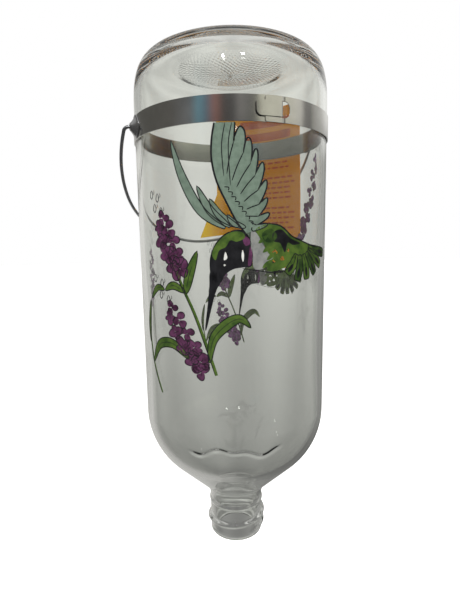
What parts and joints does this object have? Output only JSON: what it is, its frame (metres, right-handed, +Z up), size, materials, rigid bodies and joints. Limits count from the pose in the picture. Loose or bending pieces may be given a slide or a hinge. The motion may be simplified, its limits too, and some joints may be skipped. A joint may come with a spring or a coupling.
{
  "type": "hanging feeder bottle",
  "caption": "Inverted glass reservoir bottle with a threaded neck, a steel strap with a folded tongue clasp, two dished ears, a swinging wire bail and a printed card.",
  "frame": {"origin": "centre of the mouth rim, at the lowest point of the neck", "axes": "+Z up along the bottle's axis, from the mouth to the base; the bail's pivot runs along X; -Y is the side with the strap's clasp"},
  "size_m": [0.1012, 0.0914, 0.2325],
  "materials": {
    "clear_glass": "clear, smooth, faint grey-green",
    "strap_steel": "rolled stainless strip, half bright",
    "ear_steel": "stamped stainless, satin",
    "wire_steel": "drawn wire, satin",
    "tag_card": "printed card, semi matt",
    "fired_ink": "fired enamel print, satin"
  },
  "bodies": {
    "bottle": {"glass_bottle": "clear_glass", "hanging_band": "strap_steel", "left_bail_ear": "ear_steel", "right_bail_ear": "ear_steel", "hang_tag": "tag_card"},
    "bail": {"bail_wire": "wire_steel"}
  },
  "joints": [
    {"name": "bail_pivot", "type": "hinge", "parent": "bottle", "child": "bail", "pos_m": [0, 0, 0.2003], "axis": [1, 0, 0], "range_deg": [0, 274]}
  ]
}
